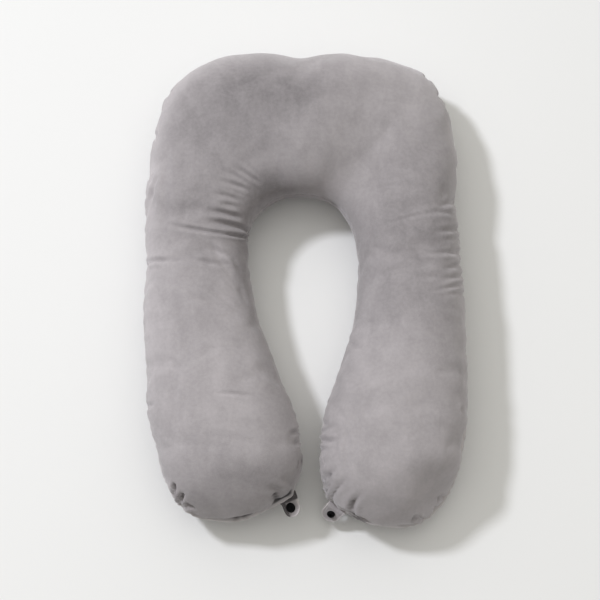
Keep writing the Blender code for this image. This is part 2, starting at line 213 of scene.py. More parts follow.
skin, along, tube_length, angle, half_width, rise = plain_skin(SKIN_PITCH, SKIN_DOME_RINGS, SKIN_POINTS)
girth = pi * (half_width + rise)
share = along / tube_length
round_tube = np.abs(angle)[None] / (2 * pi) * girth[:, None]
above_seam, outer_side = angle >= 0, np.cos(angle) > 0
off_seam = np.arcsin(np.clip(np.abs(np.sin(angle)), 0, 1))[None] * rise[:, None]
outer_seam, inner_seam = skin[:, 0, :2], skin[:, SKIN_POINTS[0], :2]
normals = outward(skin)
inward_depth = np.zeros(skin.shape[:2])

# The stuffing presses out against cloth that is a little too long for its seam, so that it buckles beside
# the thread. The seam is held, and only the unevenness is kept, not the swelling.
PUFF_PITCH, PUFF_POINTS, PUFF_DOME_RINGS = 0.0056, (56, 30), 13
PUFF_SMALLER = 0.003  # the cloth starts this far inside the skin
PUFF_FRAMES = 20
PUFF_PRESSURE = 4
CLOTH_SLACK, SEAM_SLACK, SEAM_SLACK_REACH = 0.02, 0.10, 0.030
PUFF_CAP = 0.0022  # the most that the unevenness stands out or in
EVEN_OUT = 0.030  # unevenness broader than this is taken out
SMOOTHED_ROUND, SMOOTHED_ALONG = 2, 3  # passes over the unevenness once it's on the finer skin
LESS_NEAR_FLOOR = 0.02  # it fades below this height, where the floor holds the cloth flat


def smoothed(field, steps, wrap):
    """A field evened out by its neighbours, along the tube or round it."""
    for _ in range(steps):
        if wrap:
            field = (np.roll(field, 1, axis=1) + 2 * field + np.roll(field, -1, axis=1)) / 4
        else:
            padded = np.concatenate([field[:1], field, field[-1:]])
            field = (padded[:-2] + 2 * padded[1:-1] + padded[2:]) / 4
    return field


def puffed_unevenness():
    """How far the stuffed cloth stands out or in from the smooth skin, from a cloth simulation."""
    start, start_along, _, start_angle, _, start_rise = plain_skin(PUFF_PITCH, PUFF_DOME_RINGS, PUFF_POINTS)
    facing = outward(start)
    start_off = np.arcsin(np.clip(np.abs(np.sin(start_angle)), 0, 1))[None] * start_rise[:, None]
    body = bpy.data.objects.new("puffing", tube_mesh("puffing", start - facing * PUFF_SMALLER))
    bpy.context.scene.collection.objects.link(body)
    held = body.vertex_groups.new(name="held")
    loose = body.vertex_groups.new(name="loose")
    rings, points = start.shape[:2]
    looseness = np.exp(-((start_off / SEAM_SLACK_REACH) ** 2))
    for i in range(rings):
        held.add([i * points, i * points + PUFF_POINTS[0]], 1.0, "REPLACE")
        for k in range(points):
            loose.add([i * points + k], float(looseness[i, k]), "REPLACE")
    held.add([rings * points, rings * points + 1], 1.0, "REPLACE")
    cloth = body.modifiers.new("Cloth", "CLOTH")
    cloth.settings.quality = 5
    cloth.settings.mass = 0.25
    cloth.settings.tension_stiffness = 12
    cloth.settings.compression_stiffness = 12
    cloth.settings.shear_stiffness = 4
    cloth.settings.bending_stiffness = 0.05
    cloth.settings.use_pressure = True
    cloth.settings.uniform_pressure_force = PUFF_PRESSURE
    cloth.settings.vertex_group_mass = "held"
    cloth.settings.vertex_group_shrink = "loose"
    cloth.settings.shrink_min = -CLOTH_SLACK
    cloth.settings.shrink_max = -SEAM_SLACK
    cloth.settings.effector_weights.gravity = 0
    cloth.collision_settings.use_collision = False
    cloth.collision_settings.use_self_collision = False
    cloth.point_cache.frame_end = PUFF_FRAMES
    for frame in range(1, PUFF_FRAMES + 1):
        bpy.context.scene.frame_set(frame)
    done = body.evaluated_get(bpy.context.evaluated_depsgraph_get()).to_mesh()
    places = np.empty(len(done.vertices) * 3)
    done.vertices.foreach_get("co", places)
    moved = places.reshape(-1, 3)[: rings * points].reshape(rings, points, 3) - start
    stands = (moved * facing).sum(axis=2)
    bpy.data.objects.remove(body)
    bpy.context.scene.frame_set(1)
    steps = round((EVEN_OUT / PUFF_PITCH) ** 2 / 2)
    broad = smoothed(smoothed(stands, steps, True), steps, False)
    uneven = PUFF_CAP * np.tanh((stands - broad) / PUFF_CAP)
    return uneven, start_along, start_angle


uneven, start_along, start_angle = puffed_unevenness()
turn_order = np.argsort(start_angle)
wrapped = np.concatenate([start_angle[turn_order], [pi]])
closed = np.concatenate([uneven[:, turn_order], uneven[:, turn_order[:1]]], axis=1)
closed[:, -1] = uneven[:, PUFF_POINTS[0]]
by_turn = np.array([np.interp(angle, wrapped, ring) for ring in closed])
fine = np.array([np.interp(along, start_along, column) for column in by_turn.T]).T
fine = smoothed(smoothed(fine, SMOOTHED_ROUND, True), SMOOTHED_ALONG, False)
inward_depth -= fine * np.clip(skin[:, :, 2] / LESS_NEAR_FLOOR, 0, 1)

# The two panels are drawn in on both sides of the stitched edge, which stands up a little. It stands up
# most on the outer side of the right arm's end.
Edge = namedtuple("Edge", "side start end drawn_in drawn_width height")
EDGE_WIDTH = 0.0018
EDGE_EASE = 0.02
PLAIN_EDGE = Edge("both", 0.0, 1.0, 0.0036, 0.0060, 0.0024)
EDGES = (
    Edge("both", 0.000, 0.055, 0.0026, 0.0060, 0.0034),
    Edge("outer", 0.900, 0.968, 0.0068, 0.0110, 0.0070),
    Edge("inner", 0.925, 0.985, 0.0030, 0.0060, 0.0010),
)


def on_stretch(side, start, end):
    """1 along one stretch of the seam, on one side or both, easing to 0 past its ends."""
    entered = np.clip((share - start) / EDGE_EASE + 1, 0, 1)
    within = entered * np.clip((end - share) / EDGE_EASE + 1, 0, 1)
    on_side = {"both": 1.0, "outer": outer_side[None], "inner": ~outer_side[None]}[side]
    return within[:, None] * on_side


drawn_in = np.full(skin.shape[:2], PLAIN_EDGE.drawn_in)
drawn_width = np.full(skin.shape[:2], PLAIN_EDGE.drawn_width)
edge_height = np.full(skin.shape[:2], PLAIN_EDGE.height)
for edge in EDGES:
    there = on_stretch(*edge[:3])
    drawn_in += (edge.drawn_in - PLAIN_EDGE.drawn_in) * there
    drawn_width += (edge.drawn_width - PLAIN_EDGE.drawn_width) * there
    edge_height += (edge.height - PLAIN_EDGE.height) * there
inward_depth += drawn_in * np.exp(-((off_seam / drawn_width) ** 2))
inward_depth -= edge_height * np.exp(-((off_seam / EDGE_WIDTH) ** 2))

# The folds and tension lines that the lie of the pillow gives. A crease bows along the tube by bow halfway.
# One that starts at the seam runs right up to it, and any other dies away at both of its ends.
Crease = namedtuple("Crease", "from_share from_angle to_share to_angle bow width depth")
CREASES = (
    # left arm, the long fold inside the bend and the ones above it
    Crease(0.3117, 2.97, 0.3117, 0.80, -0.0105, 0.0024, 0.0042),
    Crease(0.3204, 2.97, 0.3145, 1.62, 0.0000, 0.0038, 0.0043),
    Crease(0.3325, 2.60, 0.3255, 1.68, 0.0003, 0.0042, 0.0042),
    Crease(0.3452, 2.36, 0.3376, 1.88, 0.0000, 0.0038, 0.0018),
    # the fan of folds higher up
    Crease(0.3575, 2.40, 0.3445, 1.68, 0.0000, 0.0042, 0.0022),
    Crease(0.3700, 2.40, 0.3560, 1.85, 0.0000, 0.0040, 0.0010),
    Crease(0.3825, 2.44, 0.3600, 1.74, 0.0000, 0.0040, 0.0021),
    Crease(0.3920, 2.40, 0.3765, 1.76, 0.0000, 0.0038, 0.0015),
    Crease(0.4080, 2.54, 0.3872, 1.88, 0.0000, 0.0042, 0.0024),
    Crease(0.4150, 2.50, 0.4040, 2.00, -0.0010, 0.0044, 0.0010),
    # left arm, below the fan
    Crease(0.2735, 1.45, 0.2660, 2.20, 0.0000, 0.0030, 0.0026),
    Crease(0.2880, 1.80, 0.2765, 2.30, 0.0000, 0.0032, 0.0026),
    Crease(0.2790, 2.05, 0.2640, 2.45, 0.0010, 0.0036, -0.0014),
    Crease(0.3250, 1.38, 0.3050, 1.38, 0.0000, 0.0026, 0.0014),
    Crease(0.2405, 1.32, 0.2049, 2.40, 0.0000, 0.0050, 0.0020),
    Crease(0.2480, 2.35, 0.2290, 2.60, 0.0000, 0.0050, 0.0014),
    # left arm, the slack cloth beside the bend, crinkled on the slant
    Crease(0.2948, 1.76, 0.2455, 2.37, 0.0000, 0.0034, 0.0016),
    Crease(0.2999, 1.85, 0.2523, 2.52, 0.0010, 0.0032, -0.0013),
    Crease(0.2489, 1.57, 0.2167, 2.30, 0.0015, 0.0032, 0.0017),
    Crease(0.2640, 1.78, 0.2354, 2.28, 0.0000, 0.0030, -0.0012),
    Crease(0.2760, 1.60, 0.2620, 1.95, 0.0000, 0.0028, 0.0010),
    # left arm, outer side
    Crease(0.2766, 0.04, 0.2715, 1.38, 0.0013, 0.0024, 0.0030),
    Crease(0.2540, 0.20, 0.2540, 0.90, 0.0000, 0.0060, 0.0014),
    Crease(0.3780, 0.84, 0.2900, 0.90, 0.0068, 0.0060, 0.0020),
    Crease(0.3310, 0.50, 0.3500, 0.80, 0.0000, 0.0028, 0.0026),
    Crease(0.3290, 0.42, 0.3375, 0.78, 0.0000, 0.0028, 0.0024),
    Crease(0.3420, 0.36, 0.3440, 0.66, 0.0000, 0.0030, 0.0016),
    Crease(0.1252, 0.04, 0.1252, 0.60, 0.0000, 0.0026, 0.0024),
    Crease(0.1740, 1.50, 0.1820, 1.75, 0.0000, 0.0035, 0.0010),
    Crease(0.1640, 1.02, 0.1500, 1.12, 0.0000, 0.0040, 0.0010),
    Crease(0.1440, 1.02, 0.1210, 0.95, 0.0000, 0.0040, 0.0012),
    Crease(0.1328, 1.52, 0.1292, 2.12, 0.0000, 0.0022, 0.0018),
    # right arm, outer side, where the gathered seam pulls over the edge
    Crease(0.6900, 0.10, 0.6705, 2.34, 0.0060, 0.0018, 0.0011),
    Crease(0.6787, 0.04, 0.6823, 1.10, 0.0000, 0.0024, 0.0024),
    Crease(0.6904, 0.45, 0.6825, 1.30, 0.0000, 0.0022, 0.0018),
    Crease(0.6984, 0.04, 0.7015, 1.30, 0.0011, 0.0022, 0.0027),
    Crease(0.7034, 0.04, 0.7106, 1.15, 0.0000, 0.0022, 0.0015),
    Crease(0.7085, 0.04, 0.7110, 0.70, 0.0000, 0.0018, 0.0008),
    Crease(0.7145, 0.04, 0.7216, 1.70, 0.0014, 0.0020, 0.0022),
    Crease(0.7222, 0.04, 0.7365, 1.10, 0.0000, 0.0022, 0.0019),
    Crease(0.7333, 0.04, 0.7464, 1.15, 0.0000, 0.0024, 0.0019),
    Crease(0.7410, 0.04, 0.7605, 1.40, -0.0005, 0.0022, 0.0018),
    Crease(0.7525, 0.04, 0.7613, 1.05, 0.0000, 0.0026, 0.0013),
    Crease(0.7430, 1.05, 0.7445, 1.55, 0.0000, 0.0028, 0.0010),
    Crease(0.7190, 1.15, 0.7158, 1.70, 0.0000, 0.0028, 0.0010),
    Crease(0.5750, 1.29, 0.6260, 1.20, 0.0030, 0.0060, 0.0012),
    Crease(0.8700, 0.46, 0.8820, 0.50, 0.0000, 0.0030, 0.0026),
    # right arm, inner side
    Crease(0.8040, 3.00, 0.8200, 2.25, 0.0000, 0.0036, 0.0014),
    Crease(0.8890, 3.05, 0.8920, 2.55, 0.0000, 0.0026, 0.0016),
    Crease(0.8976, 2.97, 0.8940, 2.45, 0.0000, 0.0026, 0.0022),
    Crease(0.9064, 2.97, 0.9106, 2.34, 0.0000, 0.0028, 0.0030),
    Crease(0.9150, 3.05, 0.9170, 2.60, 0.0000, 0.0024, 0.0022),
    Crease(0.9242, 2.76, 0.9341, 2.76, 0.0000, 0.0020, 0.0028),
    Crease(0.9310, 3.05, 0.9300, 2.50, 0.0000, 0.0024, 0.0024),
    Crease(0.8997, 2.27, 0.9201, 2.14, 0.0000, 0.0030, 0.0013),
    Crease(0.8780, 2.60, 0.8900, 2.20, 0.0000, 0.0050, 0.0012),
    Crease(0.8980, 2.25, 0.9396, 2.12, 0.0012, 0.0028, 0.0014),
    Crease(0.9040, 2.40, 0.9362, 2.24, 0.0000, 0.0030, -0.0013),
    Crease(0.9099, 2.10, 0.9327, 2.04, 0.0000, 0.0028, 0.0010),
    # right end, the corner that the tab tugs
    Crease(0.9473, 2.97, 0.9380, 2.34, 0.0000, 0.0026, 0.0044),
    Crease(0.9560, 2.97, 0.9480, 2.50, 0.0000, 0.0024, 0.0034),
    Crease(0.9655, 2.97, 0.9465, 2.12, 0.0000, 0.0021, 0.0042),
    Crease(0.9840, 2.84, 0.9585, 1.90, 0.0000, 0.0020, 0.0042),
    Crease(0.9770, 2.90, 0.9880, 2.42, 0.0000, 0.0026, 0.0060),
    # right end, two hooks where the seam turns under
    Crease(0.9870, 0.76, 0.9793, 0.93, -0.0020, 0.0018, -0.0030),
    Crease(0.9600, 0.04, 0.9640, 0.80, 0.0000, 0.0022, 0.0042),
    Crease(0.9850, 0.04, 0.9835, 1.20, 0.0008, 0.0022, 0.0040),
    Crease(0.9740, 0.04, 0.9725, 0.70, 0.0000, 0.0024, 0.0030),
    # left end, the corner that the tab tugs
    Crease(0.0455, 2.11, 0.0373, 2.93, 0.0000, 0.0024, -0.0022),
    Crease(0.0420, 2.13, 0.0335, 2.85, 0.0000, 0.0022, 0.0024),
    Crease(0.0500, 2.40, 0.0430, 2.93, 0.0000, 0.0026, 0.0020),
    Crease(0.0700, 2.76, 0.0560, 2.76, 0.0000, 0.0022, 0.0038),
    Crease(0.0810, 2.93, 0.0650, 2.82, 0.0000, 0.0020, 0.0030),
    Crease(0.0887, 2.97, 0.0831, 2.62, 0.0000, 0.0024, 0.0026),
    Crease(0.0991, 2.97, 0.0933, 2.55, 0.0000, 0.0024, 0.0030),
    # left end, outer side and the pinch at its tip
    Crease(0.0470, 0.56, 0.0310, 0.44, 0.0000, 0.0022, 0.0070),
    Crease(0.0360, 0.76, 0.0268, 0.40, 0.0000, 0.0020, 0.0058),
    Crease(0.0262, 0.54, 0.0185, 0.86, 0.0000, 0.0020, 0.0046),
    Crease(0.0310, 0.04, 0.0450, 0.70, 0.0000, 0.0026, 0.0050),
    Crease(0.0240, 0.04, 0.0320, 0.66, 0.0000, 0.0024, 0.0046),
    Crease(0.0222, 0.04, 0.0240, 0.90, 0.0000, 0.0026, 0.0024),
    Crease(0.0160, 0.04, 0.0160, 0.70, 0.0000, 0.0026, 0.0020),
    Crease(0.0098, 1.78, 0.0155, 2.86, 0.0000, 0.0020, 0.0040),
    # faint folds over the ends
    Crease(0.0900, 1.10, 0.0790, 2.10, 0.0020, 0.0050, 0.0009),
    Crease(0.0810, 0.95, 0.0730, 2.00, 0.0020, 0.0050, 0.0009),
    Crease(0.8720, 2.25, 0.8960, 2.10, 0.0000, 0.0040, 0.0010),
)
LIPS_ASIDE, LIPS_HEIGHT = 2.2, 0.30  # the lips of a fold, in its widths and as a share of its depth
FOLD_REACH = 5  # in widths, past which nothing of a fold is left
STARTS_AT_SEAM = (0.10, 2.94)  # a crease whose first angle lies outside these starts at the seam
CREASE_FADES_IN, CREASE_FADES_OUT = 0.35, 0.45  # shares of its length
CREASE_BELOW_SEAM, TUCK_BELOW_SEAM = 0.008, 0.006  # how far they run on over the bottom panel
AT_SEAM_DEPTH, FULL_DEPTH_FROM_SEAM = 0.35, 0.006  # the thread holds the cloth flatter close to it


def smooth_step(t):
    """From 0 to 1 as t goes from 0 to 1, starting and ending gently."""
    t = np.clip(t, 0, 1)
    return t * t * (3 - 2 * t)


def fold_profile(distance, width):
    """A trough with the slightly raised lips that pushed-up cloth makes beside it."""
    trough = np.exp(-((distance / width) ** 2))
    lips = np.exp(-(((distance - LIPS_ASIDE * width) / width) ** 2))
    return trough - LIPS_HEIGHT * lips


def over_seam_fade(rows, reach):
    """1 over the top panel, fading within reach of the seam over the bottom panel."""
    return np.where(above_seam[None], 1.0, np.exp(-((off_seam[rows] / reach) ** 2)))


def line_over_skin(from_share, from_angle, to_share, to_angle, bow, reach, over_seam=False):
    """The rounds that a line over the skin touches, how far along it each point is, and how far aside.
    With over_seam it's mirrored at the seam, so that what reaches the seam goes over it."""
    start, stop = from_share * tube_length, to_share * tube_length
    rows = np.flatnonzero((along > min(start, stop) - reach) & (along < max(start, stop) + reach))
    start_round = from_angle / (2 * pi) * girth[rows][:, None]
    step_along, step_round = stop - start, to_angle / (2 * pi) * girth[rows][:, None] - start_round
    place_round = np.abs(round_tube[rows]) if over_seam else round_tube[rows]
    x, y = along[rows][:, None] - start, place_round - start_round
    length = np.hypot(step_along, step_round)
    t = (x * step_along + y * step_round) / length**2
    aside = (x * step_round - y * step_along) / length * np.where(step_round < 0, -1, 1)
    return rows, t, np.abs(aside - bow * 4 * t * (1 - t))


for crease in CREASES:
    rows, t, distance = line_over_skin(*crease[:5], FOLD_REACH * crease.width + abs(crease.bow))
    from_seam = not STARTS_AT_SEAM[0] <= crease.from_angle <= STARTS_AT_SEAM[1]
    fade = smooth_step((1 - t) / CREASE_FADES_OUT) * (1.0 if from_seam else smooth_step(t / CREASE_FADES_IN))
    below = over_seam_fade(rows, CREASE_BELOW_SEAM)
    off = smooth_step(off_seam[rows] / FULL_DEPTH_FROM_SEAM)
    near_seam = AT_SEAM_DEPTH + (1 - AT_SEAM_DEPTH) * off
    inward_depth[rows] += crease.depth * fade * below * near_seam * fold_profile(distance, crease.width)

# Tucks at the tugged corners, where the cloth closes on itself: each is pressed in by its depth, and its
# shade is painted shade that darkens the colour there. Each ends softly, is still partly there at its first
# and last point, and goes over the seam.
Tuck = namedtuple("Tuck", "from_share from_angle to_share to_angle width depth shade")
TUCKS = (
    # left end: the bar beside the tab, the V at its foot, the pinch at the tip, the pits on the outer side
    Tuck(0.0262, 2.84, 0.0385, 2.93, 0.0056, 0.0020, 0.84),
    Tuck(0.0340, 2.46, 0.0262, 2.86, 0.0019, 0.0045, 0.70),
    Tuck(0.0088, 2.30, 0.0142, 2.72, 0.0034, 0.0040, 0.82),
    Tuck(0.0450, 0.52, 0.0340, 0.46, 0.0020, 0.0030, 0.45),
    Tuck(0.0340, 0.66, 0.0290, 0.50, 0.0017, 0.0030, 0.40),
    # left end: two marks on the edge over the tab
    Tuck(0.0800, 3.00, 0.0770, 2.92, 0.0020, 0.0025, 0.65),
    Tuck(0.0690, 2.96, 0.0655, 2.84, 0.0020, 0.0025, 0.60),
    # the head's corners, where the gathered seam shows as small steps in the outline
    Tuck(0.4019, 0.00, 0.4030, 0.34, 0.0026, 0.0046, 0.06),
    Tuck(0.3899, 0.00, 0.3890, 0.30, 0.0022, 0.0030, 0.04),
    Tuck(0.3729, 0.00, 0.3742, 0.40, 0.0026, 0.0042, 0.06),
    Tuck(0.3473, 0.00, 0.3462, 0.36, 0.0024, 0.0038, 0.06),
    Tuck(0.5840, 0.00, 0.5826, 0.36, 0.0026, 0.0046, 0.06),
    Tuck(0.5990, 0.00, 0.6002, 0.40, 0.0024, 0.0042, 0.06),
    Tuck(0.6110, 0.00, 0.6100, 0.30, 0.0022, 0.0030, 0.04),
    # right end: the hollow over the tab, the fold that runs up from it, and two nicks in the outer side
    Tuck(0.9795, 2.92, 0.9868, 2.95, 0.0060, 0.0026, 0.90),
    Tuck(0.9785, 2.80, 0.9690, 2.30, 0.0015, 0.0020, 0.34),
    Tuck(0.9410, 2.80, 0.9445, 2.56, 0.0016, 0.0014, 0.34),
    Tuck(0.9500, 2.94, 0.9512, 2.70, 0.0016, 0.0014, 0.30),
    Tuck(0.9872, 0.94, 0.9813, 1.02, 0.0016, 0.0026, 0.34),
    Tuck(0.9655, 0.56, 0.9619, 0.60, 0.0014, 0.0020, 0.20),
)
TUCK_FADE, TUCK_AT_ENDS = 0.24, 0.6  # share of its length, and how far up the fade its end points are
tuck_painted_shade = np.zeros(skin.shape[:2])
for tuck in TUCKS:
    rows, t, distance = line_over_skin(*tuck[:4], 0.0, FOLD_REACH * tuck.width, over_seam=True)
    fade = smooth_step(t / TUCK_FADE + TUCK_AT_ENDS) * smooth_step((1 - t) / TUCK_FADE + TUCK_AT_ENDS)
    fade = fade * over_seam_fade(rows, TUCK_BELOW_SEAM)
    shaded = fade * np.exp(-((distance / tuck.width) ** 2))
    inward_depth[rows] += tuck.depth * shaded
    tuck_painted_shade[rows] = np.maximum(tuck_painted_shade[rows], tuck.shade * shaded)

# The small puckers that the gathering thread leaves, uneven in pitch, length and slant.
Gather = namedtuple("Gather", "side start end pitch depth reach")
GATHERS = (
    Gather("outer", 0.000, 0.110, 0.0120, 0.0017, 0.022),
    Gather("outer", 0.110, 0.270, 0.0170, 0.0009, 0.018),
    Gather("outer", 0.270, 0.420, 0.0105, 0.0014, 0.020),
    Gather("outer", 0.420, 0.560, 0.0200, 0.0005, 0.016),
    Gather("outer", 0.560, 0.670, 0.0120, 0.0011, 0.018),
    Gather("outer", 0.670, 0.900, 0.0110, 0.0012, 0.018),
    Gather("outer", 0.900, 1.000, 0.0115, 0.0020, 0.020),
    Gather("inner", 0.000, 0.120, 0.0115, 0.0018, 0.018),
    Gather("inner", 0.120, 0.300, 0.0150, 0.0007, 0.018),
    Gather("inner", 0.300, 0.430, 0.0090, 0.0009, 0.022),
    Gather("inner", 0.430, 0.860, 0.0150, 0.0005, 0.014),
    Gather("inner", 0.860, 1.000, 0.0110, 0.0020, 0.018),
)
FIRST_PUCKER, PUCKER_STEP, PUCKER_WIDTH = (0.2, 0.9), (0.6, 1.45), (0.19, 0.28)  # shares of the pitch
PUCKER_REACH, PUCKER_DEPTH = (0.45, 1.5), (0.4, 1.3)  # shares of the row's reach and depth
PUCKER_SLANT = (-0.35, 0.35)
PUCKER_WIDENS = 0.6  # how much wider it is where it ends
PUCKER_AT_SEAM, PUCKER_DEEPENS_OVER = 0.45, 0.004  # share of its depth, and how far out it's all there
PUCKER_SEED = 11
draw = np.random.default_rng(PUCKER_SEED)
for gather in GATHERS:
    seam_line = outer_seam if gather.side == "outer" else inner_seam
    arc = np.concatenate([[0], np.cumsum(np.linalg.norm(np.diff(seam_line, axis=0), axis=1))])
    first, last = np.interp([gather.start, gather.end], share, arc)
    columns = outer_side if gather.side == "outer" else ~outer_side
    place = first + gather.pitch * draw.uniform(*FIRST_PUCKER)
    while place < last:
        width = gather.pitch * draw.uniform(*PUCKER_WIDTH)
        for above in (True, False):
            slant = draw.uniform(*PUCKER_SLANT)
            reach = gather.reach * draw.uniform(*PUCKER_REACH)
            depth = gather.depth * draw.uniform(*PUCKER_DEPTH)
            rows = np.flatnonzero(np.abs(arc - place) < FOLD_REACH * width + abs(slant) * reach)
            side = np.flatnonzero(columns & (above_seam == above))
            patch = np.ix_(rows, side)
            off = off_seam[patch]
            distance = np.abs(arc[rows][:, None] - place - slant * off)
            deepened = PUCKER_AT_SEAM + (1 - PUCKER_AT_SEAM) * np.clip(off / PUCKER_DEEPENS_OVER, 0, 1)
            fade = np.clip(1 - (off / reach) ** 2, 0, 1) ** 2 * deepened
            widened = width * (1 + PUCKER_WIDENS * off / reach)
            inward_depth[patch] += depth * fade * fold_profile(distance, widened)
        place += gather.pitch * draw.uniform(*PUCKER_STEP)

# The stuffing is never quite even under the cloth.
LUMPS = ((0.080, 0.0024), (0.034, 0.0012))  # size of the lumps and how far they stand
for size, height in LUMPS:
    places = skin.reshape(-1, 3) / size
    lumps = np.array([noise.noise(Vector(place)) for place in places])
    inward_depth += lumps.reshape(skin.shape[:2]) * height

# The corners that the tabs tug outwards and weigh down.
Pull = namedtuple("Pull", "share reach drop width height")
PULLS = (Pull(0.0335, 0.0085, 0.000, 0.010, 0.022), Pull(0.9610, 0.0050, 0.016, 0.012, 0.022))
skin = skin - normals * inward_depth[:, :, None]
inwards = inner_seam - outer_seam
inwards /= np.maximum(np.linalg.norm(inwards, axis=1, keepdims=True), 1e-9)
for pull in PULLS:
    gap = np.hypot((along - pull.share * tube_length)[:, None] / pull.width, off_seam / pull.height)
    tug = np.where(outer_side[None], 0, np.exp(-(gap**2)))
    skin[:, :, :2] += inwards[:, None] * pull.reach * tug[:, :, None]
    skin[:, :, 2] -= pull.drop * tug
skin[:, :, 2] = np.maximum(skin[:, :, 2], 0.0)

pillow_mesh = tube_mesh("plush_pillow", skin)
pillow = bpy.data.objects.new("plush_pillow", pillow_mesh)
bpy.context.scene.collection.objects.link(pillow)

# A painted highlight runs along the stitched edge, for the light that the pile catches there: widest where
# the edge stands up most, full at both ends of the pillow, and dimmer inside the bend and over the right tab.
# Patches tone it lighter or darker, partly by the lay of the pile and partly as painted light and shade.
SEAM_HIGHLIGHT_WIDTH = 0.0020
WIDE_HIGHLIGHT, WIDER_BY = ("outer", 0.90, 0.968), 1.2
FULL_HIGHLIGHT, ELSEWHERE = (("both", 0.0, 0.12), ("both", 0.88, 1.0)), 0.5
DIMMER_HIGHLIGHT, LESS_BY = (("inner", 0.39, 0.61), ("inner", 0.930, 0.975)), 0.7


def store_on_points(mesh, name, values):
    """One value for each point of a mesh, which its material reads by name."""
    kept = mesh.attributes.new(name, "FLOAT", "POINT")
    kept.data.foreach_set("value", np.array(values, dtype=np.float32))


def on_either(stretches):
    """1 along either of two stretches of the seam, easing to 0 past their ends."""
    return np.maximum(*(on_stretch(*stretch) for stretch in stretches))


# the painted highlight along the seam, dimmed where the tucks' painted shade lies
highlight_width = SEAM_HIGHLIGHT_WIDTH * (1 + WIDER_BY * on_stretch(*WIDE_HIGHLIGHT))
seam_highlight = np.exp(-((off_seam / highlight_width) ** 2)) * (1 - tuck_painted_shade)
seam_highlight *= ELSEWHERE + (1 - ELSEWHERE) * on_either(FULL_HIGHLIGHT)
seam_highlight *= 1 - LESS_BY * on_either(DIMMER_HIGHLIGHT)
store_on_points(pillow_mesh, "seam_highlight", np.append(seam_highlight, (1.0, 1.0)))
PileToneAndPaintedLight = namedtuple("PileToneAndPaintedLight", "share angle along_reach round_reach tone")
PILE_TONE_AND_PAINTED_LIGHT = (
    # tone of the lay of the pile, partly painted light and shade: the rows at share 0.330 and 0.740 are
    # painted highlights down the arms' outer edges, and those at 0.412, 0.445 and 0.270 are painted shade
    # inside the bend and along the left arm's inner side
    PileToneAndPaintedLight(0.462, 1.25, 0.085, 0.060, -0.28),
    PileToneAndPaintedLight(0.485, 1.35, 0.055, 0.030, -0.10),
    PileToneAndPaintedLight(0.400, 0.95, 0.090, 0.060, -0.12),
    PileToneAndPaintedLight(0.500, 2.40, 0.120, 0.045, 0.10),
    PileToneAndPaintedLight(0.580, 1.40, 0.080, 0.080, 0.08),
    PileToneAndPaintedLight(0.290, 1.50, 0.120, 0.070, -0.16),
    PileToneAndPaintedLight(0.330, 0.40, 0.220, 0.036, 0.34),
    PileToneAndPaintedLight(0.700, 1.50, 0.150, 0.070, -0.25),
    PileToneAndPaintedLight(0.412, 2.52, 0.070, 0.026, -0.30),
    PileToneAndPaintedLight(0.445, 2.90, 0.055, 0.022, -0.20),
    PileToneAndPaintedLight(0.560, 2.70, 0.050, 0.030, 0.08),
    PileToneAndPaintedLight(0.270, 2.62, 0.140, 0.024, -0.14),
    PileToneAndPaintedLight(0.268, 2.05, 0.030, 0.014, 0.10),
    PileToneAndPaintedLight(0.284, 2.00, 0.016, 0.012, 0.08),
    PileToneAndPaintedLight(0.252, 2.20, 0.020, 0.012, 0.08),
    PileToneAndPaintedLight(0.283, 1.05, 0.014, 0.016, 0.07),
    PileToneAndPaintedLight(0.060, 1.60, 0.050, 0.090, -0.08),
    PileToneAndPaintedLight(0.740, 0.30, 0.200, 0.030, 0.12),
    PileToneAndPaintedLight(0.160, 1.55, 0.120, 0.080, 0.08),
    PileToneAndPaintedLight(0.850, 1.55, 0.120, 0.080, 0.07),
    PileToneAndPaintedLight(0.975, 1.20, 0.070, 0.110, 0.16),
)
# the tone of the lay of the pile together with painted light and shade
tone_and_painted_light = np.zeros(skin.shape[:2])
for patch in PILE_TONE_AND_PAINTED_LIGHT:
    gap = np.hypot(
        (along - patch.share * tube_length)[:, None] / patch.along_reach,
        (round_tube - patch.angle / (2 * pi) * girth[:, None]) / patch.round_reach,
    )
    tone_and_painted_light += patch.tone * np.exp(-(gap**2))
# the tucks' painted shade darkens the colour too
tone_and_painted_light -= tuck_painted_shade
store_on_points(pillow_mesh, "pile_tone_and_painted_light", np.append(tone_and_painted_light, (0.0, 0.0)))


def socket(group, name, kind, in_out, value=None):
    """A named input or output of a node group."""
    made = group.interface.new_socket(name=name, in_out=in_out, socket_type=kind)
    if value is not None:
        made.default_value = value
    return made


def node(tree, kind, inputs=(), **settings):
    """A node with its settings made, and its inputs set or joined."""
    made = tree.nodes.new(kind)
    for key, value in settings.items():
        setattr(made, key, value)
    for key, value in dict(inputs).items():
        if isinstance(value, bpy.types.NodeSocket):
            tree.links.new(value, made.inputs[key])
        else:
            made.inputs[key].default_value = value
    return made


def sum_of(tree, operation, first, second):
    """One step of arithmetic, such as ADD or MULTIPLY, between sockets or numbers."""
    return node(tree, "ShaderNodeMath", {0: first, 1: second}, operation=operation).outputs[0]


MIX_FIRST, MIX_SECOND, MIX_RESULT = 6, 7, 2  # the Mix node's sockets for colours


def between_colours(tree, amount, first, second):
    """The first colour where amount is 0, and the second where it's 1."""
    mixed = {"Factor": amount, MIX_FIRST: first, MIX_SECOND: second}
    return node(tree, "ShaderNodeMix", mixed, data_type="RGBA").outputs[MIX_RESULT]


PLUSH_DYE = (0.368, 0.343, 0.354, 1)
# the colour of the painted highlight along the seam and round the tabs' edges
SEAM_HIGHLIGHT = (0.70, 0.66, 0.66, 1)
STREAK_SHARE = 0.3  # of the broad tone, where the soft patches make the rest
GRAIN_SHARE = 0.75  # of the fibres' height, where the mottle makes the rest


